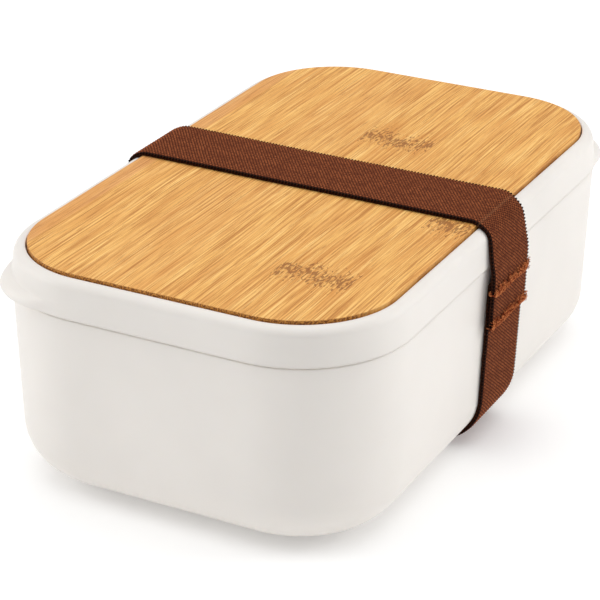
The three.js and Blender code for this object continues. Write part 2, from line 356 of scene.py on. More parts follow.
def with_cut_sides(graph, colour, across, height):
    """The colour again, darker on the panel's long edges and with open pores at its two ends."""
    normal = graph.tree.nodes.new("ShaderNodeNewGeometry").outputs["Normal"]
    normal_x, _, normal_z = graph.split(normal)
    at_edge = graph.steps(graph.math("ABSOLUTE", normal_z), 0.35, 0.8, 1.0, 0.0)
    facing_end = graph.steps(graph.math("ABSOLUTE", normal_x), 0.25, 0.6)
    at_end = graph.math("MULTIPLY", at_edge, facing_end)
    pores = graph.noise(graph.join(graph.math("MULTIPLY", across, 1.2), height), scale=1.9, detail=2)
    side = graph.mix(0.5, colour, srgb(184, 124, 50))
    end = graph.ramp(pores, (0.42, srgb(212, 144, 62)), (0.58, srgb(122, 68, 22)))
    return graph.mix(at_end, graph.mix(at_edge, colour, side), end)


def bamboo():
    """Flat-pressed bamboo: strips with long fine fibres along X, and cane joints."""
    graph = Graph("bamboo")
    along, across, height = graph.split(graph.place())
    from_edge = graph.math("SUBTRACT", across, STRIP_EDGE)
    strip = graph.math("FLOOR", graph.math("DIVIDE", from_edge, STRIP_WIDTH))
    layers = fibre_layers(graph, along, across, strip)
    face = with_cane_joints(graph, long_grain(graph, layers, strip), along, across, strip)
    halves = [graph.math("MULTIPLY", layers[name], 0.5) for name in ("streaks", "fine")]
    graph.shade(
        Base_Color=with_cut_sides(graph, face, across, height),
        Roughness=graph.steps(layers["streaks"], 0.3, 0.7, 0.62, 0.50),
        Specular_IOR_Level=0.35,
        Normal=graph.bump(graph.math("ADD", *halves), 0.07 * MM, 0.7),
    )
    return graph.material


def weave_floats(graph, pick, rib):
    """The weave's floats, staggered from rib to rib: their height here, and each one's shade."""
    slip_reach = 0.12
    rib_number = graph.math("FLOOR", rib)
    # The ribs are counted from a far even number, because MODULO keeps a number's sign
    odd = graph.math("MODULO", graph.math("FLOOR", graph.math("ADD", rib, 200.0)), 2.0)
    slip = graph.math("MULTIPLY", graph.random(rib_number), slip_reach)
    row = graph.math("ADD", graph.math("MULTIPLY_ADD", odd, 0.5, pick), slip)
    float_number = graph.math("MULTIPLY_ADD", graph.math("FLOOR", row), 61.0, rib_number)

    def hump(value):
        inside = graph.math("FRACT", value)
        return graph.math("SINE", graph.math("MULTIPLY", inside, math.pi))

    float_shape = graph.math("MULTIPLY", hump(rib), hump(row))
    return graph.math("POWER", float_shape, 0.6), graph.random(float_number)


def woven_elastic():
    """Brown ribbed elastic: staggered short floats, from the weave coordinates on the mesh, with
    painted shade in the gaps between the floats and on the band's sides.
    """
    graph = Graph("woven_elastic")
    attribute = graph.tree.nodes.new("ShaderNodeAttribute")
    attribute.attribute_name = "weave"
    pick, rib, crease = graph.split(attribute.outputs["Vector"])
    weave, shade = weave_floats(graph, pick, rib)
    place = graph.place()
    fuzz = graph.noise(place, scale=6.0, detail=3, roughness=0.7)
    patches = graph.noise(place, scale=0.35, detail=3)
    # Painted shade: the colour runs from near-black in the gaps between the floats up to the floats'
    # brown tops
    thread = graph.ramp(
        weave,
        (0.28, srgb(20, 6, 3)),
        (0.55, srgb(112, 56, 32)),
        (0.95, srgb(172, 98, 60)),
    )
    uneven = graph.mix(graph.steps(shade, 0.2, 1.0, 0.0, 0.5), thread, srgb(70, 29, 17))
    varied = graph.mix(graph.steps(patches, 0.35, 0.7, 0.0, 0.3), uneven, srgb(92, 42, 25))
    fuzzed = graph.mix(graph.steps(fuzz, 0.5, 0.8, 0.0, 0.3), varied, srgb(150, 90, 62))
    # Painted shade: the band's sides and the ribs next to them are coloured near-black, as the shade
    # that falls there
    painted_side_shade = graph.steps(graph.math("ABSOLUTE", rib), SIDE_RIBS - 1.0, SIDE_RIBS, 0.0, 0.9)
    darker = graph.mix(painted_side_shade, fuzzed, srgb(20, 6, 4))
    creased = graph.mix(graph.math("MULTIPLY", crease, 0.22), darker, srgb(158, 112, 80))
    height = graph.math("MULTIPLY_ADD", fuzz, 0.35, weave)
    graph.shade(
        Base_Color=creased,
        Roughness=0.95,
        Specular_IOR_Level=0.1,
        Sheen_Weight=0.05,
        Sheen_Roughness=0.6,
        Sheen_Tint=srgb(190, 130, 100),
        Normal=graph.bump(height, 0.14 * MM, 0.9),
    )
    return graph.material


def spun_thread(name, dark, light, sheen):
    """Matt spun thread, with painted shade in random patches that stands in for the shade in its
    hollows.
    """
    graph = Graph(name)
    place = graph.place()
    fibre = graph.noise(place, scale=3.5, detail=4, roughness=0.7)
    patch = graph.noise(place, scale=1.1, detail=2)
    colour = graph.ramp(fibre, (0.35, dark), (0.65, light))
    # Painted shade: the dark colour is laid over random patches of the thread, as the shade in its
    # hollows
    graph.shade(
        Base_Color=graph.mix(graph.steps(patch, 0.48, 0.56, 0.0, 0.85), colour, dark),
        Roughness=0.9,
        Specular_IOR_Level=0.08,
        Sheen_Weight=sheen,
        Sheen_Tint=light,
        Normal=graph.bump(fibre, 0.08 * MM, 0.8),
    )
    return graph.material


def silicone():
    """Soft translucent grey silicone with a faint moulding haze."""
    graph = Graph("silicone")
    haze = graph.noise(graph.place(), scale=0.8, detail=3)
    graph.shade(
        Base_Color=graph.ramp(haze, (0.3, srgb(214, 216, 214)), (0.7, srgb(228, 229, 226))),
        Roughness=graph.steps(haze, 0.3, 0.7, 0.35, 0.5),
        Subsurface_Weight=0.2,
        Subsurface_Radius=(0.003, 0.003, 0.003),
        Normal=graph.bump(haze, 0.02 * MM, 0.4),
    )
    return graph.material


def adhesive_tape():
    """Pale foam tape with fine pores."""
    graph = Graph("adhesive_tape")
    pores = graph.noise(graph.place(), scale=2.5, detail=3)
    graph.shade(
        Base_Color=graph.ramp(pores, (0.35, srgb(226, 220, 204)), (0.6, srgb(240, 236, 224))),
        Roughness=0.8,
        Normal=graph.bump(pores, 0.04 * MM, 0.6),
    )
    return graph.material


def floor_surface():
    """A pale matt studio floor, which glows a little so that it comes out white."""
    graph = Graph("floor_surface")
    mottle = graph.noise(graph.place(), scale=0.01, detail=2)
    darker, paler = (0.92, 0.92, 0.92, 1), (0.93, 0.93, 0.93, 1)
    graph.shade(
        Base_Color=graph.ramp(mottle, (0.3, darker), (0.7, paler)),
        Roughness=0.9,
        Specular_IOR_Level=0.1,
        Emission_Color=(1.0, 1.0, 1.0, 1.0),
        Emission_Strength=0.18,
    )
    return graph.material


# ---- mesh helpers ----


def new_piece(name, points, faces, material, body, sharp_degrees=40):
    """A smooth-shaded mesh object that rides on a body."""
    mesh = bpy.data.meshes.new(name)
    mesh.from_pydata([tuple(point) for point in points], [], faces)
    mesh.materials.append(material)
    mesh.polygons.foreach_set("use_smooth", [True] * len(mesh.polygons))
    mesh.set_sharp_from_angle(angle=math.radians(sharp_degrees))
    mesh.update()
    piece = bpy.data.objects.new(name, mesh)
    bpy.context.collection.objects.link(piece)
    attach(piece, body)
    return piece


def tab_offset(angle):
    """How far the lift tabs stand out from the lid's corners at a corner angle.

    Each tab is a circle that crosses the corner's own arc at the tab's two ends, blended into it."""
    from_middle = (angle - TAB_MIDDLE + math.pi / 2) % math.pi - math.pi / 2
    corner_has_tab = math.sin(2 * angle) < 0
    if not corner_has_tab or abs(from_middle) >= TAB_FADE_ANGLE:
        return 0.0
    farthest = CORNER_RADIUS + TAB_REACH
    centre = (farthest**2 - CORNER_RADIUS**2) / (
        2 * (farthest - CORNER_RADIUS * math.cos(TAB_HALF_ANGLE))
    )
    radius = farthest - centre
    across = centre * math.sin(from_middle)
    proud = centre * math.cos(from_middle) + math.sqrt(radius**2 - across**2) - CORNER_RADIUS
    blended = (proud + math.hypot(proud, TAB_BLEND)) / 2
    share = 1 - (abs(from_middle) / TAB_FADE_ANGLE) ** 6
    return blended * share


def ring(outset, z, tab=0.0):
    """The box's outline at the seam, moved outwards by outset, at height z.

    tab is the share of the lift tabs' reach that this ring takes in."""
    centre_x = HALF_LENGTH - CORNER_RADIUS
    centre_y = HALF_WIDTH - CORNER_RADIUS
    corners = []
    for index, (side_x, side_y) in enumerate(((1, 1), (-1, 1), (-1, -1), (1, -1))):
        centre = Vector((side_x * centre_x, side_y * centre_y, z))
        corner = []
        for step in range(CORNER_STEPS + 1):
            angle = (index + step / CORNER_STEPS) * math.pi / 2
            radius = CORNER_RADIUS + outset + tab * tab_offset(angle)
            corner.append(centre + radius * Vector((math.cos(angle), math.sin(angle), 0)))
        corners.append(corner)
    points = []
    for index, corner in enumerate(corners):
        following = corners[(index + 1) % 4][0]
        straight = (following - corner[-1]).normalized()
        points += corner
        points.append(corner[-1] + SUPPORT * straight)
        points.append(following - SUPPORT * straight)
    return points


def bridged(rings, looped=False, turned=False):
    """Points and faces of a closed skin over rings of equally many points.

    looped joins the last ring to the first instead of capping both. turned is for rings that run
    clockwise, as seen from the last ring."""
    count = len(rings[0])
    faces = []
    for lower in range(len(rings) if looped else len(rings) - 1):
        upper = (lower + 1) % len(rings)
        for index in range(count):
            following = (index + 1) % count
            near, far = lower * count, upper * count
            faces.append((near + index, near + following, far + following, far + index))
    if not looped:
        last = (len(rings) - 1) * count
        faces.append(tuple(reversed(range(count))))
        faces.append(tuple(range(last, last + count)))
    if turned:
        faces = [(face[0], *reversed(face[1:])) for face in faces]
    return [point for one in rings for point in one], faces


def ring_skin(sections, looped=False):
    """Points and faces of a closed skin over rings, given as (outset, z) or (outset, z, tab)."""
    return bridged([ring(*section) for section in sections], looped)


def arc(centre_out, centre_z, radius, start, end, steps=12):
    """(how far out, z) pairs along an arc from start to end in degrees, both ends included."""
    pairs = []
    for step in range(steps + 1):
        angle = math.radians(start + (end - start) * step / steps)
        pairs.append((centre_out + radius * math.cos(angle), centre_z + radius * math.sin(angle)))
    return pairs


def tube(points, radius, sides=6, ends=0.5):
    """Points and faces of a closed tube along a line of points.

    ends is how much of the radius is left at the tube's two ends."""
    rings = []
    side = None
    for index, point in enumerate(points):
        before = points[max(index - 1, 0)]
        after = points[min(index + 1, len(points) - 1)]
        along = (after - before).normalized()
        if side is None:
            side = along.orthogonal().normalized()
        side = (side - along * side.dot(along)).normalized()
        other = along.cross(side)
        at_end = index in (0, len(points) - 1)
        size = radius * (ends if at_end else 1.0)
        turns = [2 * math.pi * step / sides for step in range(sides)]
        rings.append(
            [point + size * (math.cos(turn) * side + math.sin(turn) * other) for turn in turns]
        )
    return bridged(rings)


def joined(parts):
    """One list of points and faces from several (points, faces) parts."""
    points, faces = [], []
    for part_points, part_faces in parts:
        base = len(points)
        points += part_points
        faces += [tuple(base + index for index in face) for face in part_faces]
    return points, faces


# ---- the tub ----


def outer_wall(z):
    """Outset of the tub's outer wall between its bottom fillet and the seam."""
    fillet_top = TUB_BOTTOM + BOTTOM_FILLET
    share = (TUB_RIM - z) / (TUB_RIM - fillet_top)
    return -RIM_SETBACK - (SIDE_TAPER - RIM_SETBACK) * share


def inner_wall(z):
    """Outset of the tub's inner wall between its floor fillet and the lip."""
    fillet_top = FLOOR + INNER_FILLET
    share = (z - fillet_top) / (TUB_RIM - fillet_top)
    return -(SIDE_TAPER + WALL) * (1 - share) - (LIP_SETBACK + LIP_WALL) * share


def tub_sections():
    """The tub's skin, from the middle of its underside out, up, over the lip and in to its floor."""
    soft = 0.45 * MM
    lip_outer = -LIP_SETBACK
    lip_inner = -(LIP_SETBACK + LIP_WALL)
    lip_lean = 0.1 * MM
    inner_top = FLOOR + INNER_FILLET
    # A flat foot runs round inside the base fillet, and the underside is hollow within it
    foot = 0.5 * MM
    foot_width = 2 * MM
    base_outset = -SIDE_TAPER - BOTTOM_FILLET
    hollow = TUB_BOTTOM + foot
    hollow_middle, hollow_edge = base_outset - 7 * MM, base_outset - 3.4 * MM
    return [
        (hollow_middle, hollow),
        (hollow_edge, hollow),
        *arc(base_outset - foot_width, hollow, foot, -150, -90, 4),
        *arc(base_outset, TUB_BOTTOM + BOTTOM_FILLET, BOTTOM_FILLET, -90, 0, 18),
        (outer_wall(TUB_RIM - SUPPORT), TUB_RIM - SUPPORT),
        *arc(outer_wall(TUB_RIM) - soft, TUB_RIM - soft, soft, 0, 90, 5),
        (lip_outer + soft / 2, TUB_RIM),
        (lip_outer, TUB_RIM + soft / 2),
        *arc(lip_outer - soft - lip_lean, LIP_TOP - soft, soft, 0, 90, 4),
        *arc(lip_inner + soft, LIP_TOP - soft, soft, 90, 180, 4),
        (inner_wall(TUB_RIM), TUB_RIM),
        (inner_wall(TUB_RIM - SUPPORT), TUB_RIM - SUPPORT),
        *arc(inner_wall(inner_top) - INNER_FILLET, inner_top, INNER_FILLET, 0, -90, 14),
        (inner_wall(inner_top) - INNER_FILLET - SUPPORT, FLOOR),
    ]


def guide_rib(x, side):
    """A rib with a round nose that stands on the tub's inner wall, at x and on one side of it."""
    radius = GUIDE_WIDTH / 2
    sunk = 0.9 * MM
    root = GUIDE_REACH - radius + sunk
    nose_steps = 8
    rings = []
    for step in reversed(range(GUIDE_STEPS + 1)):
        z = GUIDE_LOW + (GUIDE_HIGH - GUIDE_LOW) * step / GUIDE_STEPS
        point = Vector((x, side * (HALF_WIDTH + inner_wall(z) - GUIDE_REACH + radius), z))
        at_end = step in (0, GUIDE_STEPS)
        nose = radius * (0.6 if at_end else 1.0)
        section = []
        for part in range(nose_steps + 1):
            turn = math.pi * part / nose_steps
            section.append(point + Vector((nose * math.cos(turn), -side * nose * math.sin(turn), 0)))
        section.append(point + Vector((-nose, side * root, 0)))
        section.append(point + Vector((nose, side * root, 0)))
        if side < 0:
            section.reverse()
        rings.append(section)
    return bridged(rings)


def make_tub(material):
    """The tub, with two pairs of ribs that the divider slides down between."""
    parts = [ring_skin(tub_sections())]
    divider_x = (divider_low.x + divider_high.x) / 2
    from_divider = DIVIDER_THICKNESS / 2 + GUIDE_GAP + GUIDE_WIDTH / 2
    for along in (-1, 1):
        for side in (-1, 1):
            parts.append(guide_rib(divider_x + along * from_divider, side))
    points, faces = joined(parts)
    piece = new_piece("tub_shell", points, faces, material, "tub")
    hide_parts("tub")
    return piece


# ---- the lid ----


def lid_side(z):
    """Outset of the lid's outer side, which leans in towards the rim."""
    return -LID_DRAFT * (z - LID_BOTTOM) / (RIM_TOP - LID_BOTTOM)


def tab_sections():
    """The lid's side through the lift tabs' levels, as (outset, z, share of the tabs' reach).

    A tab has a small round underside, a blunt edge, and a convex top that falls back and blends
    into the lid's own side."""
    edge = 0.2  # where the blunt edge is, as a share of the tab's height
    round_steps = 6
    levels = []
    for step in range(round_steps + 1):
        turn = math.radians(90 * step / round_steps)
        levels.append((edge * 0.7 * (1 - math.cos(turn)), math.sin(turn)))
    blend = 0.1
    farthest_fall = 1.5
    fade_length = 0.4
    fall_steps = 20
    for step in range(fall_steps + 1):
        fall = farthest_fall * step / fall_steps
        proud = 1 - fall * fall
        lobe = (proud + math.hypot(proud, blend)) / 2
        fade = min(1.0, max(0.0, (farthest_fall - fall) / fade_length))
        levels.append((edge + (1 - edge) * fall, lobe * fade * fade * (3 - 2 * fade)))
    sections = []
    for up, share in levels:
        z = TAB_UNDERSIDE + up * TAB_HEIGHT
        sections.append((lid_side(z), z, share))
    return sections


def make_lid(material):
    """The lid's shell: plug, channel for the seal, skirt, side with its tabs, rim and recess."""
    soft = 0.35 * MM
    tiny = 0.25 * MM
    rim_z = RIM_TOP - RIM_FILLET
    skirt_top = -SKIRT_WALL - SKIRT_DRAFT
    plug_outer = -PLUG_INSET
    plug_inner = -(PLUG_INSET + PLUG_WALL)
    plug_bottom = PLATE_UNDERSIDE - PLUG_DEPTH
    recess = -(PANEL_INSET - PANEL_GAP)
    sections = [
        (plug_inner - SUPPORT, PLATE_UNDERSIDE),
        (plug_inner - tiny, PLATE_UNDERSIDE),
        (plug_inner, PLATE_UNDERSIDE - tiny),
        *arc(plug_inner + soft, plug_bottom + soft, soft, 180, 270, 4),
        *arc(plug_outer - soft, plug_bottom + soft, soft, -90, 0, 4),
        (plug_outer, PLATE_UNDERSIDE - tiny),
        (plug_outer + tiny, PLATE_UNDERSIDE),
        (skirt_top - tiny, PLATE_UNDERSIDE),
        (skirt_top, PLATE_UNDERSIDE - tiny),
        (-SKIRT_WALL, LID_BOTTOM + tiny),
        *arc(-SKIRT_WALL + tiny, LID_BOTTOM + tiny, tiny, 180, 270, 3),
        *arc(-soft, LID_BOTTOM + soft, soft, -90, 0, 5),
        *tab_sections(),
        *arc(lid_side(rim_z) - RIM_FILLET, rim_z, RIM_FILLET, 6, 90, 14),
        *arc(recess + tiny, RIM_TOP - tiny, tiny, 90, 180, 4),
        (recess, RECESS_FLOOR + tiny),
        (recess - tiny, RECESS_FLOOR),
        (recess - SUPPORT, RECESS_FLOOR),
    ]
    points, faces = ring_skin(sections)
    piece = new_piece("lid_cover", points, faces, material, "lid")
    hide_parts("lid_shell")
    return piece


def make_panel(material):
    """The bamboo panel, its top edge eased round and its bottom edge chamfered."""
    eased = -PANEL_INSET - PANEL_EASE
    sections = [
        (-PANEL_INSET - SUPPORT, panel_low.z),
        (eased, panel_low.z),
        (-PANEL_INSET, panel_low.z + PANEL_EASE),
        *arc(eased, PANEL_TOP - PANEL_EASE, PANEL_EASE, 0, 90, 5),
        (eased - SUPPORT, PANEL_TOP),
    ]
    points, faces = ring_skin(sections)
    piece = new_piece("bamboo_board", points, faces, material, "lid")
    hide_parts("bamboo_panel")
    return piece


def make_seal(material):
    """The seal: a closed ring whose section is a well-rounded rectangle."""
    off_plug = 0.05 * MM
    squareness = 0.55
    section_steps = 16
    middle_z = (seal_low.z + seal_high.z) / 2
    half_height = (seal_high.z - seal_low.z) / 2
    outer = seal_high.x - HALF_LENGTH
    inner = -PLUG_INSET + off_plug
    half_width = (outer - inner) / 2
    middle = (outer + inner) / 2
    section = []
    for step in range(section_steps):
        turn = 2 * math.pi * step / section_steps
        x = math.copysign(abs(math.cos(turn)) ** squareness, math.cos(turn))
        z = math.copysign(abs(math.sin(turn)) ** squareness, math.sin(turn))
        section.append((middle + half_width * x, middle_z + half_height * z))
    points, faces = ring_skin(section, looped=True)
    piece = new_piece("seal_ring", points, faces, material, "lid")
    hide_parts("lid_seal")
    return piece


# ---- the band ----


def band_line():
    """The middle of the band's thickness as (y, z) points, from its end under the lap round to
    its other end on top of the lap."""
    near = BAND_GAP + BAND_THICKNESS / 2
    standoff = near + SIDE_GAP
    far = standoff + BAND_THICKNESS + BAND_GAP
    fillet_top = TUB_BOTTOM + BOTTOM_FILLET
    fillet_y = HALF_WIDTH - SIDE_TAPER - BOTTOM_FILLET
    rim_z = RIM_TOP - RIM_FILLET
    rim_y = HALF_WIDTH + lid_side(rim_z) - RIM_FILLET
    # The band runs straight from the panel's eased edge to where it meets the rim's fillet
    edge_y = panel_high.y - PANEL_EASE
    to_rim = Vector((rim_y - edge_y, rim_z - PANEL_TOP))
    lean = math.degrees(math.atan2(-to_rim.y, to_rim.x) - math.asin(RIM_FILLET / to_rim.length))
    lift = 90 - lean
    # On the -Y side it slants out from the rim to the lap
    lap_y = HALF_WIDTH + outer_wall(LAP_TOP) + far
    slant = math.degrees(math.atan2(lap_y - (rim_y + RIM_FILLET + near), rim_z - LAP_TOP))
    lap_bend = 1.2 * MM
    line = [(-(HALF_WIDTH + outer_wall(LAP_TOP) + standoff), LAP_TOP)]
    line.append((-(HALF_WIDTH + outer_wall(LAP_BOTTOM) + standoff), LAP_BOTTOM))
    line += arc(-fillet_y, fillet_top, BOTTOM_FILLET + near, 180, 270)
    line += arc(fillet_y, fillet_top, BOTTOM_FILLET + near, -90, 0)
    line.append((HALF_WIDTH + near, LID_BOTTOM))
    line += arc(rim_y, rim_z, RIM_FILLET + near, 0, lift, 6)
    line += arc(edge_y, PANEL_TOP, near, lift, 90, 3)
    line += arc(-edge_y, PANEL_TOP, near, 90, 180 - lift, 3)
    line += arc(-rim_y, rim_z, RIM_FILLET + near, 180 - lift, 180 - slant, 6)
    line.append((-(lap_y - LAP_BOW), (rim_z + 2 * LAP_TOP) / 3))
    line.append((-lap_y, LAP_TOP + lap_bend))
    line.append((-(HALF_WIDTH + outer_wall(LAP_BOTTOM) + far), LAP_BOTTOM))
    return [Vector(point) for point in line]


def evenly_spaced(line, spacing):
    """The line again with points about spacing apart."""
    lengths = [0.0]
    for before, after in zip(line, line[1:]):
        lengths.append(lengths[-1] + (after - before).length)
    count = round(lengths[-1] / spacing)
    points = []
    segment = 0
    for step in range(count + 1):
        target = lengths[-1] * step / count
        while segment < len(line) - 2 and lengths[segment + 1] < target:
            segment += 1
        run = lengths[segment + 1] - lengths[segment]
        share = (target - lengths[segment]) / run if run else 0.0
        points.append(line[segment].lerp(line[segment + 1], share))
    return points


def softened(line, rounds):
    """The line with its kinks eased, its two ends kept."""
    for _ in range(rounds):
        middle = [
            (before + 2 * point + after) / 4
            for before, point, after in zip(line, line[1:], line[2:])
        ]
        line = [line[0], *middle, line[-1]]
    return line


class Band:
    """The band's course: where its middle runs, which way it faces and how wide it is.

    The line's points and the outward directions are (y, z) pairs, one for each half pick."""

    def __init__(self):
        self.line = softened(evenly_spaced(band_line(), PICK / 2), 6)
        self.length = sum((b - a).length for a, b in zip(self.line, self.line[1:]))
        self.spacing = self.length / (len(self.line) - 1)
        self.outward = []
        for index in range(len(self.line)):
            before = self.line[max(index - 1, 0)]
            after = self.line[min(index + 1, len(self.line) - 1)]
            along = (after - before).normalized()
            self.outward.append(Vector((along.y, -along.x)))
        lap = LAP_TOP - LAP_BOTTOM
        # How far along the band each station is, the band's middle X there and its half width
        self.stations = (
            (0.0, -0.5 * MM, 11.6 * MM),
            (lap + 20 * MM, -0.6 * MM, 11.7 * MM),
            (self.distance_at(RIM_BEND), 2.2 * MM, 12.0 * MM),
            (self.distance_at(0.0), 1.4 * MM, 11.8 * MM),
            (self.distance_at(-50 * MM), 1.1 * MM, 11.8 * MM),
            (self.distance_at(-50 * MM) + 8 * MM, -0.5 * MM, 11.2 * MM),
            (self.length - lap - 5 * MM, -1.45 * MM, 11.75 * MM),
            (self.length - lap, -1.8 * MM, 11.6 * MM),
            (self.length, -1.9 * MM, 11.6 * MM),
        )

    def distance_at(self, y):
        """How far along the band its stretch over the lid passes a place y."""
        over_lid = []
        for index, (_, height) in enumerate(self.line):
            if height > LIP_TOP:
                over_lid.append(index)
        nearest = min(over_lid, key=lambda index: abs(self.line[index][0] - y))
        return nearest * self.spacing

    def between_stations(self, distance, column):
        """A value that eases from each of the band's stations to the next."""
        for before, after in zip(self.stations, self.stations[1:]):
            if distance <= after[0]:
                share = max(0.0, (distance - before[0]) / (after[0] - before[0]))
                eased = share * share * (3 - 2 * share)
                return before[column] + (after[column] - before[column]) * eased
        return self.stations[-1][column]

    def centre_x(self, distance):
        """The band runs a little askew: over the lid and down to the lap it drifts towards -X."""
        return self.between_stations(distance, 1)

    def half_width(self, distance):
        """Sewing draws the band in at the lap, and its bend over the far rim spreads it."""
        return self.between_stations(distance, 2)


def float_height(column, row):
    """The weave's relief at a column and row counted in half ribs and half picks."""
    if column % 2 == 0:
        return 0.0
    rib = (column - 1) // 2
    return 1.0 if (row + rib) % 2 else 0.15


def webbing_section(row, half_width, half_thickness, crease):
    """The webbing's section at a row, as (x, height off its middle, rib) points all the way round.

    It goes over the woven face from -X to +X, and back under the plain face."""
    half_columns = int(2 * SIDE_RIBS)
    corner = 0.35 * MM
    selvedge = 0.12 * MM  # how far each edge bulges out
    section = []
    for column in range(-half_columns, half_columns + 1):
        share = column / half_columns
        from_edge = half_width * (1 - abs(share))
        rounding = corner * (1 - min(1.0, from_edge / (3 * corner))) ** 2
        raise_by = RELIEF * (float_height(column, row) - 1) + CREASE_HEIGHT * crease
        section.append((share * half_width, half_thickness - rounding + raise_by, column / 2))
    for level in (0.35, -0.35):
        section.append((half_width + selvedge, half_thickness * level, SIDE_RIBS))
    for step in range(UNDERSIDE_STEPS + 1):
        share = 1 - 2 * step / UNDERSIDE_STEPS
        section.append((share * half_width, -half_thickness, share * SIDE_RIBS))
    for level in (-0.35, 0.35):
        section.append((-half_width - selvedge, half_thickness * level, -SIDE_RIBS))
    return section


def make_band(band, material):
    """The webbing, with its weave coordinates (pick, rib, crease) stored on the mesh."""
    thinned = {0: 0.55, 1: 0.9}  # the share of the thickness left at each end's last two rows
    crease_at = band.distance_at(-RIM_BEND)
    rings, weave = [], []
    for row, (middle, outward) in enumerate(zip(band.line, band.outward)):
        distance = row * band.spacing
        centre_x = band.centre_x(distance)
        crease = math.exp(-(((distance - crease_at) / CREASE_HALF) ** 2))
        from_end = min(row, len(band.line) - 1 - row)
        half_thickness = BAND_THICKNESS / 2 * thinned.get(from_end, 1.0)
        ring_points = []
        for x, out, rib in webbing_section(row, band.half_width(distance), half_thickness, crease):
            y, z = middle + outward * out
            ring_points.append((centre_x + x, y, z))
            weave.extend((row / 2, rib, crease))
        rings.append(ring_points)
    points, faces = bridged(rings, turned=True)
    piece = new_piece("band_webbing", points, faces, material, "band", 60)
    attribute = piece.data.attributes.new("weave", "FLOAT_VECTOR", "POINT")
    attribute.data.foreach_set("vector", weave)
    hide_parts("elastic_band")
    return piece


def make_picots(band, material):
    """The weft's turning loops, which stand out of both edges of the band, one for each pick."""
    loop_reach = 0.58 * MM
    loop_half = 0.1 * MM
    loop_height = 0.18 * MM
    loop_root = 0.1 * MM
    yarn = 0.25 * MM
    loop_steps = 6
    rows_per_pick = 2
    parts = []
    for row in range(rows_per_pick, len(band.line) - rows_per_pick, rows_per_pick):
        distance = row * band.spacing
        middle, outward = band.line[row], band.outward[row]
        along = Vector((-outward.y, outward.x))
        for side in (-1, 1):
            edge = band.centre_x(distance) + side * (band.half_width(distance) - loop_root)
            line = []
            for step in range(loop_steps + 1):
                turn = math.pi * step / loop_steps
                x = edge + side * loop_reach * math.sin(turn)
                y, z = middle + outward * loop_height - along * loop_half * math.cos(turn)
                line.append(Vector((x, y, z)))
            parts.append(tube(line, yarn, 5, 1.0))
    points, faces = joined(parts)
    return new_piece("band_picots", points, faces, material, "band", 80)


def thread_on_lap(x, z, off):
    """A point off the lap's outer face by off, at x and height z."""
    outer_strand = SIDE_GAP + 2 * BAND_GAP + 1.5 * BAND_THICKNESS
    face_y = HALF_WIDTH + outer_wall(z) + outer_strand + BAND_THICKNESS / 2
    return Vector((x, -(face_y + off), z))


class StitchRow:
    """Where one row of overedge sewing runs: from left to right, and from foot up to head."""

    def __init__(self, band, node, seed):
        low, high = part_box(node)
        self.seed = seed
        self.foot = low.z + 0.5 * MM
        self.head = high.z + 0.8 * MM
        distance = band.length - (self.foot - LAP_BOTTOM)
        self.left = band.centre_x(distance) - band.half_width(distance) - 0.2 * MM
        self.right = band.centre_x(distance) + band.half_width(distance) - 0.6 * MM

    def fullness(self, x):
        """From 0 to 1, how far up the row the sewing is drawn at x: it comes in tufts."""
        tuft = 3.3 * MM
        turns = (x - self.left) / tuft * 2 * math.pi
        return 0.62 + 0.26 * math.sin(turns + self.seed) + 0.12 * math.sin(2.7 * turns)

    def level(self, share):
        """A height in the row, from its foot at 0 to its head at 1."""
        return self.foot + (self.head - self.foot) * share


def laid_cord(row):
    """The cord of two twisted plies that is laid along the row's foot."""
    steps = 90
    twist_length = 1.5 * MM
    ply_radius, from_axis = 0.2 * MM, 0.13 * MM
    axis_off = 0.22 * MM
    width = row.right - row.left
    plies = []
    for ply in (0, math.pi):
        line = []
        for step in range(steps + 1):
            share = step / steps
            twist = ply + share * width / twist_length * 2 * math.pi
            sag = 0.18 * MM * math.sin(share * 9 + row.seed)
            x = row.left + width * share
            z = row.foot + sag + from_axis * math.cos(twist)
            line.append(thread_on_lap(x, z, axis_off + from_axis * math.sin(twist)))
        plies.append(tube(line, ply_radius, 6))
    return plies


def zigzag_thread(row, draw):
    """The thread that runs up and down over the cord in uneven stitches."""
    stitches = 26
    pitch = (row.right - row.left) / stitches
    line = []
    for stitch in range(stitches + 1):
        x = row.left + pitch * (stitch + draw.uniform(-0.3, 0.3))
        up = row.level(row.fullness(x) * draw.uniform(0.8, 1.1))
        lean = draw.uniform(-0.2, 0.8) * MM
        rise = draw.uniform(0.1, 0.5) * MM
        halfway = (row.foot + up) / 2
        line.append(thread_on_lap(x, row.foot + draw.uniform(-0.1, 0.2) * MM, 0.15 * MM))
        line.append(thread_on_lap(x + 0.4 * lean, halfway, rise + 0.15 * MM))
        line.append(thread_on_lap(x + lean, up, 0.1 * MM))
        line.append(thread_on_lap(x + lean + 0.3 * pitch, halfway, rise))
    return tube(softened(evenly_spaced(line, 0.3 * MM), 2), 0.17 * MM, 5)


def broken_fibre(row, draw):
    """One short fibre that stands curling out of the sewing."""
    steps = 5
    flattened = 0.8
    x = draw.uniform(row.left, row.right)
    z = row.level(row.fullness(x) * draw.uniform(0.0, 0.9))
    length = min(draw.uniform(0.6, 1.9) * MM, row.right - x + 0.3 * MM)
    heading = draw.uniform(0.3, 2.6)
    curl = draw.uniform(-1.8, 1.8)
    lift = draw.uniform(0.1, 0.8) * MM
    line = []
    for step in range(steps + 1):
        share = step / steps
        angle = heading + curl * share
        run_x = length * share * math.cos(angle)
        run_z = length * share * math.sin(angle) * flattened
        off = 0.1 * MM + lift * math.sin(2.2 * share)
        line.append(thread_on_lap(x + run_x, z + run_z, off))
    return tube(line, draw.uniform(0.06, 0.12) * MM, 4, 0.3)


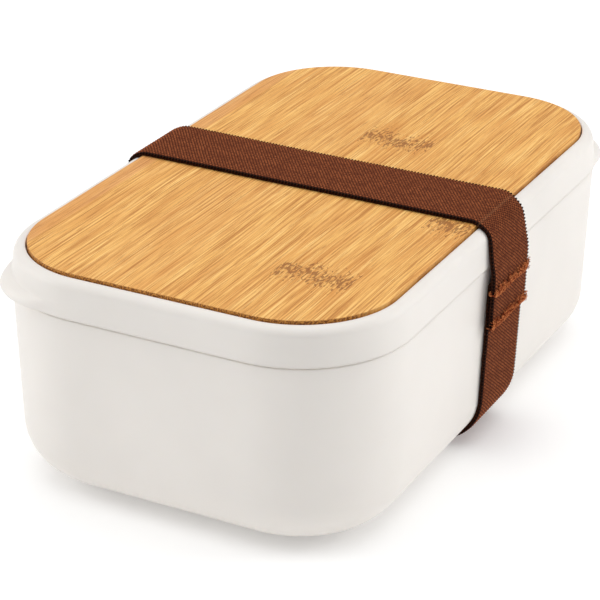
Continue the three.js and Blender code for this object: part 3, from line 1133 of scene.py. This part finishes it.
def edge_loop(row, draw, side):
    """One loose loop round the band's edge at the row's left (-1) or right (1) end."""
    steps = 8
    edge = row.left if side < 0 else row.right
    farthest = 0.8 if side < 0 else 0.4
    height = row.level(draw.uniform(-0.1, 0.6))
    reach = draw.uniform(0.1, farthest) * MM
    depth = draw.uniform(0.8, 2.4) * MM
    line = []
    for step in range(steps + 1):
        turn = math.pi * step / steps
        x = edge - side * 0.5 * MM + side * reach * math.sin(turn)
        z = height + draw.uniform(-0.2, 0.2) * MM
        line.append(thread_on_lap(x, z, 0.2 * MM - depth * (1 - math.cos(turn)) / 2))
    return tube(line, draw.uniform(0.09, 0.15) * MM, 5, 0.6)


def make_stitch_row(band, node, material, seed):
    """One row of overedge sewing: a laid cord along its foot, uneven tufts of thread over it,
    loose loops round the band's two edges and a fuzz of broken fibres."""
    fibres = 230
    loops = 8
    draw = random.Random(seed)
    row = StitchRow(band, node, seed)
    parts = laid_cord(row)
    parts.append(zigzag_thread(row, draw))
    for _ in range(fibres):
        parts.append(broken_fibre(row, draw))
    for side in (-1, 1):
        for _ in range(loops):
            parts.append(edge_loop(row, draw, side))
    points, faces = joined(parts)
    piece = new_piece(node + "_threads", points, faces, material, "band", 80)
    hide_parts(node)
    return piece


# ---- the studio ----


def make_camera():
    """A long lens at the photograph's angle, from above one end and the side with the lap."""
    azimuth, elevation, roll = (math.radians(angle) for angle in (-62.56, 25.35, 0.22))
    from_panel = Vector((-530.95, -269.28, 243.2)) * MM
    place = from_panel + Vector((0, 0, PANEL_TOP))
    back = Vector(
        (
            math.sin(azimuth) * math.cos(elevation),
            -math.cos(azimuth) * math.cos(elevation),
            math.sin(elevation),
        )
    )
    right = Vector((-back.y, back.x, 0)).normalized()
    up = back.cross(right)
    rolled_right = math.cos(roll) * right + math.sin(roll) * up
    rolled_up = -math.sin(roll) * right + math.cos(roll) * up
    data = bpy.data.cameras.new("camera")
    data.sensor_width = 36
    data.lens = 135.48
    data.clip_start = 0.01
    camera = bpy.data.objects.new("camera", data)
    turned = Matrix((rolled_right, rolled_up, back)).transposed().to_4x4()
    camera.matrix_world = Matrix.Translation(place) @ turned
    bpy.context.collection.objects.link(camera)
    bpy.context.scene.camera = camera


def make_light(name, place, size, power):
    """A square soft light that faces the middle of the box."""
    data = bpy.data.lights.new(name, "AREA")
    data.shape = "SQUARE"
    data.size = size
    data.energy = power
    light = bpy.data.objects.new(name, data)
    light.location = place
    middle_of_box = Vector((0, 0, 0.04))
    to_box = middle_of_box - Vector(place)
    light.rotation_euler = to_box.to_track_quat("-Z", "Y").to_euler()
    bpy.context.collection.objects.link(light)


def make_studio():
    """A wide floor, an even white surround and three soft lights."""
    half = 8.0
    surround = 0.36
    mesh = bpy.data.meshes.new("studio_floor")
    corners = [(-half, -half, 0), (half, -half, 0), (half, half, 0), (-half, half, 0)]
    mesh.from_pydata(corners, [], [(0, 1, 2, 3)])
    mesh.materials.append(floor_surface())
    floor = bpy.data.objects.new("studio_floor", mesh)
    bpy.context.collection.objects.link(floor)
    world = bpy.data.worlds.new("studio")
    world.use_nodes = True
    background = world.node_tree.nodes["Background"]
    background.inputs["Color"].default_value = (1, 1, 1, 1)
    background.inputs["Strength"].default_value = surround
    bpy.context.scene.world = world
    make_light("key", (0.75, -1.1, 0.55), 0.8, 6.6)
    make_light("fill", (-0.45, 1.15, 0.55), 0.8, 5.5)
    make_light("top", (0, 0, 1.4), 1.8, 15.0)
    bpy.context.scene.view_settings.view_transform = "Standard"


def give_material(node, material):
    """Puts a material on every slot of a CAD node that stays in view."""
    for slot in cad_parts[node].material_slots:
        slot.material = material


plastic = moulded_plastic()
make_camera()
make_studio()
make_tub(plastic)
make_lid(plastic)
make_panel(bamboo())
make_seal(silicone())
give_material("divider", plastic)
give_material("panel_adhesive", adhesive_tape())

band = Band()
elastic = woven_elastic()
edge_yarn = spun_thread("edge_yarn", srgb(9, 2, 1), srgb(28, 9, 5), 0.0)
sewing = spun_thread("sewing_thread", srgb(110, 30, 11), srgb(255, 164, 102), 0.25)
on_band = [
    make_band(band, elastic),
    make_picots(band, edge_yarn),
    make_stitch_row(band, "stitch_row_upper", sewing, 3),
    make_stitch_row(band, "stitch_row_lower", sewing, 8),
]
for piece in on_band:
    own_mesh(piece)
